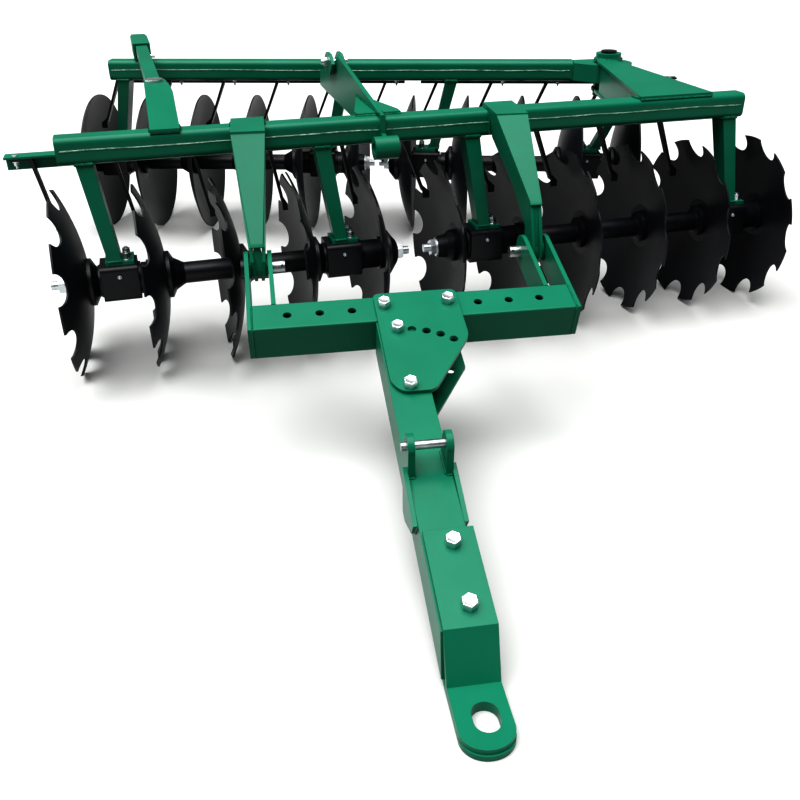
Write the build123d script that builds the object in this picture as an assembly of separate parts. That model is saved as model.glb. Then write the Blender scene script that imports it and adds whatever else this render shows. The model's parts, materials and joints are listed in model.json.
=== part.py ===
from build123d import *
import math
import os

# A trailed offset disc harrow. Millimetres, +X to the right seen from behind,
# +Y to the rear, +Z up, the floor at Z 0, towed toward -Y.

# Where the middle of the whole machine lies in the layout's own coordinates.
CENTRE_X = 1121.05
CENTRE_Y = 51.07

# Rows: the angle of each to the line square to the pull, and the first disc's rim.
FRONT_ANGLE = 6.3
REAR_ANGLE = -11.9
REAR_X, REAR_Y = -65.0, 1465.0
PITCH = 230.0
AXLE_Z = 280.0
FRONT_RIGHT_START = 1170.0
REAR_RIGHT_START = 1366.0

# Discs, dished from one sheet, with a square hole; the front ones are notched.
DISC_R = 280.0
DISC_T = 5.0
DISH_R = 620.0
FLAT_R = 75.0
NOTCHES = 10
NOTCH_R = 45.0
NOTCH_AT = 274.0
SHAFT_SIDE = 28.0
SHAFT_GAP = 0.3
# Depth of the flat middle behind the rim plane, on the hollow side and the round side
RIM_DEPTH = math.sqrt(DISH_R**2 - DISC_R**2)
HUB_IN = math.sqrt(DISH_R**2 - FLAT_R**2) - RIM_DEPTH
HUB_OUT = math.sqrt((DISH_R + DISC_T) ** 2 - FLAT_R**2) - RIM_DEPTH

# Spools, end bells and nuts on the shafts
SEAT = 0.3
TUBE_R = 33.0
FLANGE_R = 72.0
FLANGE_T = 12.0
CONE_R = 50.0
CONE_END = 24.0
NECK = 48.0
NECK_R = 36.0
SMALL_R = 52.0
SMALL_T = 14.0
SHOULDER_R = 46.0
BELL_IN = 62.0
BELL_OUT = 42.0
BELL_R = 38.0
NUT_AF = 46.0
NUT_H = 22.0
THREAD_R = 13.0
THREAD_OUT = 22.0

# Bearing blocks
JOURNAL_R = 36.0
JOURNAL_FIT = 0.06
BLOCK_W = 110.0
BLOCK_D = 112.0
BLOCK_UP = 58.0
BLOCK_DOWN = 52.0
BLOCK_ROUND = 16.0
CAP_R = 50.0
CAP_T = 7.0
SIDE_PLAY = 2.0
# How far each row's bearings sit from the middle of their spools, toward the disc's round side
BEARING_SHIFT = {"front": 20.0, "rear": 0.0}

# Beams: square tubes, their undersides and their place across the rows
BEAM = 78.0
BEAM_WALL = 7.0
BEAM_ROUND = 18.0
BEAM_LOW = 634.0
BEAM_TOP = BEAM_LOW + BEAM
FRONT_BEAM_Y = 27.0
FRONT_BEAM_X = (43.0, 2248.0)
REAR_BEAM_Y = -39.0
REAR_BEAM_X = (102.0, 2008.0)
FRONT_FACE = FRONT_BEAM_Y - BEAM / 2
BACK_FACE = FRONT_BEAM_Y + BEAM / 2

# Hangers, from the beam down to the bearing blocks
LEG_W = 48.0
LEG_LOW_W = 40.0
LEG_WALL = 6.0
LEG_TOP_D = 70.0
LEG_LOW_D = 58.0
# How far the legs' lower and upper ends lean off their bearings along each row
LEG_LEAN = {"front": (-7.0, -46.0), "rear": (35.0, 105.0)}
FOOT_LEAN = {"front": 6.0, "rear": 0.0}
LEG_LOW_Y = 10.0
FOOT_T = 12.0
FOOT_W = 84.0
FOOT_D = 80.0
FOOT_Z = AXLE_Z + BLOCK_UP

# Scraper bars, their tabs and the scrapers. A bar's flat is on top, its front edge at BAR_Y.
FRONT_BAR_X = (-111.0, 2236.0)
FRONT_BAR_Y = 92.0
FRONT_BAR_Z = 646.0
FRONT_BAR_SIDE = 50.0
FRONT_BAR_DROP = 46.0
REAR_BARS_X = ((82.0, 1324.0), (1392.0, 2452.0))
REAR_BAR_Y = 14.0
REAR_BAR_Z = 634.0
REAR_BAR_SIDE = 40.0
REAR_BAR_DROP = 30.0
ANGLE_T = 6.0
FRONT_TABS_X = (250.0, 700.0, 1180.0, 1640.0)
REAR_TABS_X = (390.0, 860.0, 1620.0, 1940.0)
TAB_W = 60.0
TAB_T = 8.0
TAB_UP = 44.0
SCRAPER_W = 24.0
SCRAPER_T = 8.0
SCRAPER_EDGE = 3.0
SCRAPER_LEG = 52.0
BLADE = 42.0
BLADE_T = 5.0
BLADE_Z = 442.0
BLADE_REACH = 26.0

# Hitch frame: its top front left corner, its slope and its parts in its own plane
HITCH_X, HITCH_Y, HITCH_Z = 544.1, -585.8, 356.5
HITCH_SLOPE = 15.41
CROSS_L = 868.0
CROSS = 98.0
CROSS_WALL = 8.0
CROSS_ROUND = 4.0
CLEVIS_HALF = 38.0
CLEVIS_LEFT = CLEVIS_HALF
CLEVIS_RIGHT = CROSS_L - CLEVIS_HALF
ARM_T = 12.0
ARM_R = 46.0
ARM_LESS = 3.0
PIN_BACK = 324.5
PIN_DEEP = 49.0
PIN_R = 16.0
PIN_FIT = 0.1
PIN_HEAD_R = 24.0
PIN_HEAD_T = 11.0
PIN_OUT = 34.0
HOLE_R = 11.0
HOLE_PITCH = 83.0
HOLE_SIDE = 4
PLATE_T = 10.0
DRAW_OFF = 63.0
DRAW_X = CROSS_L / 2 - DRAW_OFF
DRAW_W = 96.0
DRAW_WALL = 8.0
DRAW_TAIL = 6.0
DRAW_TOP_END = 888.0
DRAW_LOW_END = 932.0
SET_BOLT = 250.0
SET_R = 202.0
SET_STEP = 10.4
SET_HOLES = 5
BOLT_AF = 29.0
BOLT_HEAD = 14.0
BOLT_TAIL = 20.0

# Hitch straps and eye, their flat ends given by the floor they rest on
STRAP_X = 379.0
STRAP_HALF = 52.0
STRAP_T = 12.0
STRAP_START = 668.0
STRAP_BEND_Y = -1490.0
STRAP_TIP_Y = -1634.0
LOWER_TIP = 4.0
EYE_X = 384.0
EYE_Y = -1564.0
EYE_R = 25.5
EYE_SLOT = 8.5

# Ears and cross pin: ears flush with the drawbar's sides, on cheek plates
EAR_AT = 482.0
EAR_UP = 60.0
EAR_R = 27.0
EAR_T = 14.0
EAR_BASE_BACK, EAR_BASE_FRONT = 452.0, 522.0
CHEEK_T = 10.0
EAR_PIN_R = 10.0
EAR_PIN_LEFT, EAR_PIN_RIGHT = 310.0, 421.0

# Brackets from the front beam down to the hitch pins
SADDLE_HALF = 49.0
SADDLE_T = 10.0
NOSE = 104.0
SIDE_T = 9.0
FACE_HALF = 17.0
FACE_DEEP = 7.0
BOSS_R = 31.0
BOSS_HALF = CLEVIS_HALF - ARM_T - 1.0

# Centre arm
ARM_X = 983.0
ARM_PLATE = 14.0
ARM_BOSS_Y, ARM_BOSS_Z = -52.0, 632.0
ARM_BOSS_R = 34.0
ARM_BOSS_OUT = 30.0
ARM_BORE_R = 16.0
GUSSET_T = 8.0
GUSSET_W = 62.0
GUSSET_END = 310.0
EARS_Y, EARS_Z = 700.0, 768.0
EARS_GAP = 7.0
EARS_T = 12.0
EARS_BOLT_R = 9.0
EARS_BOLT_OUT = 42.0
EARS_NUT_AF = 28.0
EARS_NUT_H = 13.0
SPACER_R = 18.0

# Angle arm: a box open below, narrowed toward the link's pin
ARM_LEFT, ARM_RIGHT, ARM_NARROW = 308.0, 392.0, 374.0
ARM_BEND, ARM_CREASE, ARM_END = 270.0, 325.0, 444.0
ARM_SKIN = 7.0
ARM_SIDE_T = 6.0

# Link: the pin on the angle arm, the bar, and the sleeve on the rear beam
LINK_PIN_X, LINK_PIN_Y = 341.0, 405.0
LINK_W = 46.0
LINK_H = 44.0
LINK_LOW = 726.0
LINK_HIGH = LINK_LOW + LINK_H
LINK_WALL = 4.0
LINK_PIN_R = 12.0
LINK_HEAD_R = 28.0
LINK_HEAD_T = 8.0
SLEEVE_X = 240.0
SLEEVE_FRONT = 30.0
SLEEVE_BACK = 270.0
SLEEVE_TAPER = 70.0
SLEEVE_IN = 8.0
SLEEVE_GAP = 3.0
SLEEVE_WALL = 5.0
SLEEVE_FOOT_R = 25.0
STOP_AT = 776.0
STOP_R = 7.0
STOP_OUT = 20.0

# Rear pivot, in the rear row's coordinates
PIVOT_X = 2150.0
PIVOT_Y = -58.0
PIVOT_R = 50.0
PIVOT_FIT = 0.1
PIVOT_LOW, PIVOT_HIGH = 580.0, 742.0
PIVOT_CAP_R = 31.0
PIVOT_CAP_T = 9.0
LUG_R = 95.0
LUG_LOW = 639.0
LUG_TOP = 706.0
PIVOT_PLATE_R = 57.0
PIVOT_PLATE_T = 10.0
PIVOT_LOW_Z = 600.0
WEB_T = 10.0
WEB_LOW = 662.0
WEB_FLAT, WEB_DROP = 170.0, 290.0
UPPER_PLATE_X = 1860.0
LOWER_PLATE_X, LOWER_PLATE_Y = 1950.0, 300.0
LAST_LEG_X = PIVOT_X + 81.0
LAST_LEG_W = 30.0
LAST_LEG_KNEE = 578.0

SIN_F, COS_F = math.sin(math.radians(FRONT_ANGLE)), math.cos(math.radians(FRONT_ANGLE))
SIN_H, COS_H = math.sin(math.radians(HITCH_SLOPE)), math.cos(math.radians(HITCH_SLOPE))


def block(x0, x1, y0, y1, z0, z1):
    return Solid.make_box(x1 - x0, y1 - y0, z1 - z0, Plane((x0, y0, z0)))


def prism(points, along):
    face = Face(Wire.make_polygon([Vector(*p) for p in points]))
    return Solid.extrude(face, Vector(*along))


def prism_x(points, x0, x1):
    return prism([(x0, y, z) for y, z in points], (x1 - x0, 0, 0))


def prism_z(points, z0, z1):
    return prism([(x, y, z0) for x, y in points], (0, 0, z1 - z0))


def rod(start, end, radius):
    a, b = Vector(*start), Vector(*end)
    return Solid.make_cylinder(radius, (b - a).length, Plane(origin=a, z_dir=b - a))


def post(x, y, z0, z1, radius):
    return rod((x, y, z0), (x, y, z1), radius)


def hexagon(start, end, across):
    a, b = Vector(*start), Vector(*end)
    plane = Plane(origin=a, z_dir=b - a)
    flat = plane * RegularPolygon(across / 2, 6, major_radius=False)
    return Solid.extrude(flat.face(), b - a)


def turned(points):
    """A solid turned about the X axis from (x, radius) points."""
    face = Face(Wire.make_polygon([Vector(x, r, 0) for x, r in points]))
    return Solid.revolve(face, 360, Axis.X)


def loft(sections):
    """A straight-sided solid through rectangles (x0, x1, y0, y1, z)."""
    wires = []
    for x0, x1, y0, y1, z in sections:
        wires.append(Wire.make_polygon([
            Vector(x0, y0, z), Vector(x1, y0, z), Vector(x1, y1, z), Vector(x0, y1, z)
        ]))
    return Solid.make_loft(wires, True)


def tube(x0, x1, y_mid, z_low, side, wall, corner):
    """A closed square tube along X."""
    outer = block(x0, x1, y_mid - side / 2, y_mid + side / 2, z_low, z_low + side)
    outer = outer.fillet(corner, outer.edges().filter_by(Axis.X))
    half = side / 2 - wall
    inner = block(
        x0 + wall, x1 - wall, y_mid - half, y_mid + half, z_low + wall, z_low + side - wall)
    return outer - inner


def placed(x, y, z=0.0, tilt=0.0, turn=0.0):
    return Location((x - CENTRE_X, y - CENTRE_Y, z), (tilt, 0, turn))


machine = placed(0, 0)
front = placed(0, 0, turn=FRONT_ANGLE)
rear = placed(REAR_X, REAR_Y, turn=REAR_ANGLE)
hitch = placed(HITCH_X, HITCH_Y, HITCH_Z, tilt=HITCH_SLOPE)
ROWS = {"front": front, "rear": rear}
nodes = {}


def keep(name, where, *shapes):
    for shape in shapes:
        for solid in shape.solids():
            nodes.setdefault(name, []).append(solid.moved(where))


# Gangs
def dish(radius, r):
    return math.sqrt(radius**2 - r**2) - RIM_DEPTH


def square_hole(body, x0, x1):
    half = SHAFT_SIDE / 2 + SHAFT_GAP
    return body - block(x0 - 1, x1 + 1, -half, half, -half, half)


def disc(phase):
    """A disc about the X axis, its rim at X 0 and hollow toward -X; no phase, no notches."""
    mid = (FLAT_R + DISC_R) / 2
    outside = DISH_R + DISC_T
    rim = dish(outside, DISC_R)
    body = Solid.revolve(Face(Wire([
        Edge.make_line((HUB_IN, 0, 0), (HUB_IN, FLAT_R, 0)),
        Edge.make_three_point_arc(
            (HUB_IN, FLAT_R, 0), (dish(DISH_R, mid), mid, 0), (0, DISC_R, 0)),
        Edge.make_line((0, DISC_R, 0), (rim, DISC_R, 0)),
        Edge.make_three_point_arc(
            (rim, DISC_R, 0), (dish(outside, mid), mid, 0), (HUB_OUT, FLAT_R, 0)),
        Edge.make_line((HUB_OUT, FLAT_R, 0), (HUB_OUT, 0, 0)),
        Edge.make_line((HUB_OUT, 0, 0), (HUB_IN, 0, 0)),
    ])), 360, Axis.X)
    body = square_hole(body, HUB_IN, HUB_OUT)
    if phase is not None:
        for k in range(NOTCHES):
            a = math.radians(phase + 360 / NOTCHES * k)
            y, z = NOTCH_AT * math.sin(a), -NOTCH_AT * math.cos(a)
            body = body - rod((-HUB_OUT, y, z), (HUB_OUT, y, z), NOTCH_R)
    return body


def ring(profile, shift):
    """A turned piece bored square for the shaft."""
    body = turned([(x + shift, r) for x, r in profile])
    return square_hole(body, profile[0][0] + shift, profile[-1][0] + shift)


BAY = HUB_IN + PITCH - HUB_OUT
BIG_END = [(SEAT, 0), (SEAT, FLANGE_R), (FLANGE_T, FLANGE_R), (CONE_END, CONE_R)]
SMALL_END = [(BAY - SMALL_T, SMALL_R), (BAY - SEAT, SMALL_R), (BAY - SEAT, 0)]
CAP_END = BLOCK_W / 2 + CAP_T + SIDE_PLAY
SPOOL = BIG_END + [(NECK, NECK_R), (NECK + 6, TUBE_R), (BAY - SMALL_T - 10, TUBE_R)] + SMALL_END
BELL_HOLLOW = [
    (HUB_IN - BELL_IN, 0), (HUB_IN - BELL_IN, BELL_R - 4), (HUB_IN - 30, BELL_R),
    (HUB_IN - SMALL_T, SMALL_R), (HUB_IN - SEAT, SMALL_R), (HUB_IN - SEAT, 0),
]
BELL_ROUND = [
    (SEAT, 0), (SEAT, FLANGE_R), (FLANGE_T + 4, FLANGE_R), (BELL_OUT, BELL_R), (BELL_OUT, 0)
]


def bearing_spool(journal):
    """A spool's profile with a journal turned in it for a bearing."""
    return BIG_END + [
        (CONE_END + 4, SHOULDER_R), (journal - CAP_END, SHOULDER_R),
        (journal - CAP_END, JOURNAL_R), (journal + CAP_END, JOURNAL_R),
        (journal + CAP_END, SHOULDER_R), (BAY - SMALL_T, SHOULDER_R),
    ] + SMALL_END


def shaft(count):
    left, right = HUB_IN - BELL_IN, HUB_OUT + PITCH * (count - 1) + BELL_OUT
    half = SHAFT_SIDE / 2
    body = block(left, right, -half, half, -half, half)
    for end, out in ((left, -1), (right, 1)):
        nut = end + out * NUT_H
        body = body + hexagon((end, 0, 0), (nut, 0, 0), NUT_AF)
        body = body + rod((nut, 0, 0), (nut + out * THREAD_OUT, 0, 0), THREAD_R)
    return body


# Gangs: name, row, first rim, bays with a bearing, notch phase of each disc, and where
# the scrapers' bends and feet lie from the rims
GANGS = (
    ("front_left", "front", 0.0, (0, 3), (0, 18, 0, 18, 0), -43.0, -8.0),
    ("front_right", "front", FRONT_RIGHT_START, (0, 4), (18, 0, 18, 0, 0, 16), -95.0, -20.0),
    ("rear_left", "rear", 0.0, (0, 4), (None,) * 6, 103.0, 24.0),
    ("rear_right", "rear", REAR_RIGHT_START, (0, 3), (None,) * 5, 103.0, 24.0),
)
bearings = []
for name, row, first, bays, phases, bend, foot in GANGS:
    count = len(phases)
    # The rear gangs are built like the front ones and turned end for end.
    flip = row == "rear"
    start = first + PITCH * (count - 1) if flip else first
    where = ROWS[row] * Location((start, 0, AXLE_Z), (0, 0, 180 if flip else 0))
    built_bays = [count - 2 - i for i in bays] if flip else bays
    journal = BAY / 2 - BEARING_SHIFT[row]
    for i, phase in enumerate(phases):
        keep("discs_" + name, where, disc(phase).moved(Location((PITCH * i, 0, 0))))
    for i in range(count - 1):
        profile = bearing_spool(journal) if i in built_bays else SPOOL
        keep("spools_" + name, where, ring(profile, HUB_OUT + PITCH * i))
    keep("spools_" + name, where, ring(BELL_HOLLOW, 0))
    keep("spools_" + name, where, ring(BELL_ROUND, HUB_OUT + PITCH * (count - 1)))
    keep("shaft_" + name, where, shaft(count))
    for i in built_bays:
        middle = HUB_OUT + PITCH * i + journal
        bearings.append((row, start - middle if flip else start + middle))


# Bearing blocks and hangers
def bearing_block(x):
    body = block(
        x - BLOCK_W / 2, x + BLOCK_W / 2, -BLOCK_D / 2, BLOCK_D / 2,
        AXLE_Z - BLOCK_DOWN, AXLE_Z + BLOCK_UP)
    body = body.fillet(BLOCK_ROUND, body.edges().filter_by(Axis.X))
    half = BLOCK_W / 2 + CAP_T
    body = body + rod((x - half, 0, AXLE_Z), (x + half, 0, AXLE_Z), CAP_R)
    bore = JOURNAL_R + JOURNAL_FIT
    return body - rod((x - half - 1, 0, AXLE_Z), (x + half + 1, 0, AXLE_Z), bore)


def hanger(foot_x, levels):
    """A hollow leg through (x, y, width, depth, z) levels, on its foot plate."""
    def section(level, inset, lift):
        cx, cy, width, depth, z = level
        w, d = width / 2 - inset, depth / 2 - inset
        return (cx - w, cx + w, cy - d, cy + d, z + lift)

    body = block(
        foot_x - FOOT_W / 2, foot_x + FOOT_W / 2, -FOOT_D / 2, FOOT_D / 2,
        FOOT_Z, FOOT_Z + FOOT_T)
    for low, high in zip(levels, levels[1:]):
        closed_low = LEG_WALL if low is levels[0] else 0
        closed_high = LEG_WALL if high is levels[-1] else 0
        piece = loft([section(low, 0, 0), section(high, 0, 0)])
        body = body + (piece - loft([
            section(low, LEG_WALL, closed_low), section(high, LEG_WALL, -closed_high)]))
    return body


for row, x in bearings:
    low_lean, top_lean = LEG_LEAN[row]
    low_y, beam_y = (LEG_LOW_Y, REAR_BEAM_Y) if row == "rear" else (-LEG_LOW_Y, FRONT_BEAM_Y)
    low = (x + low_lean, low_y, LEG_LOW_W, LEG_LOW_D, FOOT_Z + FOOT_T)
    levels = [low, (x + top_lean, beam_y, LEG_W, LEG_TOP_D, BEAM_LOW)]
    if row == "rear" and x > REAR_BEAM_X[1]:
        # The last hanger bends up beside the pivot to the lug.
        levels = [
            low,
            (LAST_LEG_X, PIVOT_Y, LAST_LEG_W, LEG_LOW_D, LAST_LEG_KNEE),
            (LAST_LEG_X, PIVOT_Y, LAST_LEG_W, LEG_LOW_D, LUG_LOW),
        ]
    keep("bearings_" + row, ROWS[row], bearing_block(x))
    keep("hangers_" + row, ROWS[row], hanger(x + FOOT_LEAN[row], levels))

# Front beam, and the rear beam with the arm that widens to the pivot lug
keep("front_beam", front, tube(
    *FRONT_BEAM_X, FRONT_BEAM_Y, BEAM_LOW, BEAM, BEAM_WALL, BEAM_ROUND))
rear_beam = tube(*REAR_BEAM_X, REAR_BEAM_Y, BEAM_LOW, BEAM, BEAM_WALL, BEAM_ROUND)
rear_beam = rear_beam + prism_z([
    (REAR_BEAM_X[1], REAR_BEAM_Y - BEAM / 2), (PIVOT_X - 40, PIVOT_Y - LUG_R + 9),
    (PIVOT_X, PIVOT_Y - LUG_R), (PIVOT_X, PIVOT_Y + LUG_R), (REAR_BEAM_X[1], 0),
], LUG_LOW, LUG_TOP)
rear_beam = rear_beam + post(PIVOT_X, PIVOT_Y, LUG_LOW, LUG_TOP, LUG_R)
keep("rear_beam", rear, rear_beam - post(
    PIVOT_X, PIVOT_Y, LUG_LOW - 1, LUG_TOP + 1, PIVOT_R + PIVOT_FIT))


# Scraper bars and scrapers
def angle_bar(x0, x1, y, z_top, side, drop):
    """An angle with its flat on top and its upright at the back."""
    return (block(x0, x1, y, y + side, z_top - ANGLE_T, z_top)
            + block(x0, x1, y + side - ANGLE_T, y + side, z_top - drop, z_top))


def scraper(rim, bend, foot, bar_y, bar_z, way):
    """A flat bar bolted under the angle's flat, bent down and leaning in to its blade."""
    bend, foot = rim + bend, rim + foot
    under, wide = bar_z - ANGLE_T, way * (SCRAPER_T + 1)
    y0 = bar_y + SCRAPER_EDGE
    arm = prism([
        (bend - way * SCRAPER_LEG, y0, under), (bend + wide, y0, under),
        (foot + wide, y0, BLADE_Z), (foot, y0, BLADE_Z), (bend, y0, under - SCRAPER_T),
        (bend - way * SCRAPER_LEG, y0, under - SCRAPER_T),
    ], (0, SCRAPER_W, 0))
    x0, x1 = sorted((foot, rim + way * BLADE_REACH))
    return arm + block(
        x0, x1, y0 - BLADE_T, y0 + 1, BLADE_Z - BLADE / 2, BLADE_Z + BLADE / 2)


keep("scraper_bar_front", front, angle_bar(
    *FRONT_BAR_X, FRONT_BAR_Y, FRONT_BAR_Z, FRONT_BAR_SIDE, FRONT_BAR_DROP))
for x in FRONT_TABS_X:
    keep("scraper_tabs_front", front, block(
        x - TAB_T / 2, x + TAB_T / 2, BACK_FACE, FRONT_BAR_Y + FRONT_BAR_SIDE,
        FRONT_BAR_Z, FRONT_BAR_Z + TAB_UP))
for x0, x1 in REAR_BARS_X:
    keep("scraper_bars_rear", rear, angle_bar(
        x0, x1, REAR_BAR_Y, REAR_BAR_Z, REAR_BAR_SIDE, REAR_BAR_DROP))
for x in REAR_TABS_X:
    keep("scraper_tabs_rear", rear, block(
        x - TAB_W / 2, x + TAB_W / 2, REAR_BEAM_Y, REAR_BAR_Y, BEAM_LOW - TAB_T, BEAM_LOW))
for name, row, first, bays, phases, bend, foot in GANGS:
    bar_y, bar_z, way = FRONT_BAR_Y, FRONT_BAR_Z, 1
    if row == "rear":
        bar_y, bar_z, way = REAR_BAR_Y, REAR_BAR_Z, -1
    for i in range(len(phases)):
        keep("scrapers_" + row, ROWS[row], scraper(
            first + PITCH * i, bend, foot, bar_y, bar_z, way))

# Hitch brackets: saddle on the beam, sloping face plate, side plates and boss
PIN_Y = HITCH_Y + PIN_BACK * COS_H + PIN_DEEP * SIN_H
PIN_Z = HITCH_Z + PIN_BACK * SIN_H - PIN_DEEP * COS_H


def hitch_bracket(x, face_y, face_z):
    """A bracket in the machine's coordinates; its face plate ends at face_y, face_z."""
    middle = x * SIN_F / COS_F + FRONT_BEAM_Y / COS_F
    deep, skew = BEAM / 2 / COS_F, SADDLE_HALF * SIN_F / COS_F
    nose = middle - deep - NOSE
    body = prism_z([
        (x - SADDLE_HALF, nose), (x + SADDLE_HALF, nose),
        (x + SADDLE_HALF, middle + deep + skew), (x - SADDLE_HALF, middle + deep - skew),
    ], BEAM_TOP, BEAM_TOP + SADDLE_T)
    wires = []
    for half, y, z in ((FACE_HALF, face_y, face_z), (SADDLE_HALF, nose, BEAM_TOP)):
        wires.append(Wire.make_polygon([
            Vector(x - half, y, z), Vector(x + half, y, z),
            Vector(x + half, y + FACE_DEEP, z + SADDLE_T),
            Vector(x - half, y + FACE_DEEP, z + SADDLE_T),
        ]))
    body = body + Solid.make_loft(wires, True)
    near = middle - deep - skew
    lean = (SADDLE_HALF - FACE_HALF) / (BEAM_TOP - PIN_Z)
    outline = [
        (nose + 2, BEAM_TOP), (near, BEAM_TOP), (near, BEAM_LOW - 4),
        (PIN_Y + 44, PIN_Z + 60), (PIN_Y + 38, PIN_Z - 10), (PIN_Y + 16, PIN_Z - 34),
        (PIN_Y - 16, PIN_Z - 34), (PIN_Y - 38, PIN_Z - 10), (PIN_Y - 38, PIN_Z + 30),
        (face_y + 8, face_z),
    ]
    for s in (-1, 1):
        points = []
        for y, z in outline:
            half = SADDLE_HALF - lean * (BEAM_TOP - z) - SIDE_T
            points.append((x + s * half, y, z))
        body = body + prism(points, (s * SIDE_T, 0, 0))
    body = body + rod((x - BOSS_HALF, PIN_Y, PIN_Z), (x + BOSS_HALF, PIN_Y, PIN_Z), BOSS_R)
    return body - rod(
        (x - SADDLE_HALF, PIN_Y, PIN_Z), (x + SADDLE_HALF, PIN_Y, PIN_Z), PIN_R + PIN_FIT)


keep("hitch_bracket_left", machine, hitch_bracket(HITCH_X + CLEVIS_LEFT, -290.0, 462.0))
keep("hitch_bracket_right", machine, hitch_bracket(HITCH_X + CLEVIS_RIGHT, -262.0, 530.0))

# Centre arm: a tall plate from the boss ahead of the beam to its ears behind
arm_right = ARM_X + ARM_PLATE
arm = prism_x([
    (-26, ARM_BOSS_Z - 55), (-60, 600), (-60, 660), (-24, 668), (-24, BEAM_TOP + 10),
    (-8, BEAM_TOP + 10), (600, 801), (660, 770), (720, 736), (955, 700), (970, 640),
    (834, BEAM_LOW + 3), (330, BEAM_LOW), (240, 655), (BACK_FACE + SEAT, 662),
    (BACK_FACE + SEAT, BEAM_TOP + SEAT), (FRONT_FACE - SEAT, BEAM_TOP + SEAT),
    (FRONT_FACE - SEAT, 600),
], ARM_X, arm_right)
boss = [(x, ARM_BOSS_Y, ARM_BOSS_Z) for x in (ARM_X - ARM_BOSS_OUT, arm_right + ARM_BOSS_OUT)]
arm = arm + rod(*boss, ARM_BOSS_R)
for inner, outer in ((ARM_X, ARM_X - GUSSET_W), (arm_right, arm_right + GUSSET_W)):
    arm = arm + prism_z([
        (inner, FRONT_BEAM_Y), (outer, FRONT_BEAM_Y), (outer, BACK_FACE), (inner, GUSSET_END),
    ], BEAM_TOP + SEAT, BEAM_TOP + GUSSET_T)
arm = arm - rod(*boss, ARM_BORE_R)
bolt_line = [(x, EARS_Y, EARS_Z) for x in (ARM_X - EARS_BOLT_OUT, arm_right + EARS_BOLT_OUT)]
keep("centre_arm", front, arm - rod(*bolt_line, EARS_BOLT_R + PIN_FIT))
ears_bolt = rod(*bolt_line, EARS_BOLT_R)
for s, face in ((-1, ARM_X), (1, arm_right)):
    x0, x1 = sorted((face + s * EARS_GAP, face + s * (EARS_GAP + EARS_T)))
    ear = prism_x([
        (610, 772), (660, 798), (715, 800), (765, 768), (745, 722), (665, 728),
    ], x0, x1)
    ear = ear + rod(
        (face + s * SEAT, EARS_Y, EARS_Z), (face + s * (EARS_GAP + 1), EARS_Y, EARS_Z), SPACER_R)
    keep("centre_arm_ears", front, ear - rod(*bolt_line, EARS_BOLT_R + PIN_FIT))
    seat = face + s * (EARS_GAP + EARS_T + SEAT)
    ears_bolt = ears_bolt + hexagon(
        (seat, EARS_Y, EARS_Z), (seat + s * EARS_NUT_H, EARS_Y, EARS_Z), EARS_NUT_AF)
keep("centre_arm_bolt", front, ears_bolt)

# Angle arm
ARM_FLAT = LINK_HIGH + 4.0
ARM_TOP = ARM_FLAT + ARM_SKIN
plate = prism_x([
    (FRONT_FACE, BEAM_TOP + SEAT), (FRONT_FACE, BEAM_TOP + 9), (ARM_CREASE, ARM_TOP),
    (ARM_END, ARM_TOP), (ARM_END, ARM_FLAT), (ARM_CREASE + 2, ARM_FLAT),
    (BACK_FACE, BEAM_TOP + SEAT),
], ARM_LEFT, ARM_RIGHT)
plan = prism_z([
    (ARM_LEFT, FRONT_FACE), (ARM_RIGHT, FRONT_FACE), (ARM_RIGHT, ARM_BEND),
    (ARM_NARROW, ARM_END), (ARM_LEFT, ARM_END),
], BEAM_LOW, ARM_TOP + 1)
side_view = [
    (BACK_FACE + SEAT, 664), (BACK_FACE + SEAT, BEAM_TOP + 2), (ARM_CREASE, ARM_FLAT + 2),
    (ARM_END, ARM_FLAT + 2), (ARM_END, LINK_LOW - 6), (ARM_CREASE, 706),
]
skirts = prism_z([
    (ARM_RIGHT - ARM_SIDE_T, FRONT_FACE), (ARM_RIGHT, FRONT_FACE), (ARM_RIGHT, ARM_BEND),
    (ARM_NARROW, ARM_END), (ARM_NARROW - ARM_SIDE_T, ARM_END),
    (ARM_RIGHT - ARM_SIDE_T, ARM_BEND),
], BEAM_LOW, ARM_TOP)
angle_arm = (plate & plan) + (skirts & prism_x(side_view, ARM_LEFT, ARM_RIGHT))
angle_arm = angle_arm + prism_x(side_view, ARM_LEFT, ARM_LEFT + ARM_SIDE_T)
keep("angle_arm", front, angle_arm - post(
    LINK_PIN_X, LINK_PIN_Y, BEAM_TOP, ARM_TOP + 1, LINK_PIN_R + PIN_FIT))
link_pin = post(LINK_PIN_X, LINK_PIN_Y, LINK_LOW - 8, ARM_TOP + 1, LINK_PIN_R)
keep("link_pin", front, link_pin + post(
    LINK_PIN_X, LINK_PIN_Y, ARM_TOP + SEAT, ARM_TOP + LINK_HEAD_T, LINK_HEAD_R))


# Link bar and the sleeve that it slides in
def machine_point(row, x, y):
    """Where a point of a row's own coordinates lies, seen from above."""
    p = (ROWS[row] * Location((x, y, 0))).position
    return p.X, p.Y


link_x, link_y = machine_point("front", LINK_PIN_X, LINK_PIN_Y)
sleeve_x, sleeve_y = machine_point("rear", SLEEVE_X, REAR_BEAM_Y)
link_turn = math.degrees(math.atan2(sleeve_y - link_y, sleeve_x - link_x))
link_length = math.hypot(sleeve_x - link_x, sleeve_y - link_y)
link = Location((link_x, link_y, 0), (0, 0, link_turn))
half = LINK_W / 2
bar_end = link_length + SLEEVE_BACK - 15
bar = block(-half, bar_end, -half, half, LINK_LOW, LINK_HIGH)
bar = bar.fillet(half - 1, bar.edges().filter_by(Axis.Z).sort_by(Axis.X)[:2])
bar = bar - block(
    LINK_HEAD_R, bar_end + 1, LINK_WALL - half, half - LINK_WALL,
    LINK_LOW + LINK_WALL, LINK_HIGH - LINK_WALL)
keep("link_bar", link, bar - post(0, 0, LINK_LOW - 1, LINK_HIGH + 1, LINK_PIN_R + PIN_FIT))
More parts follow.
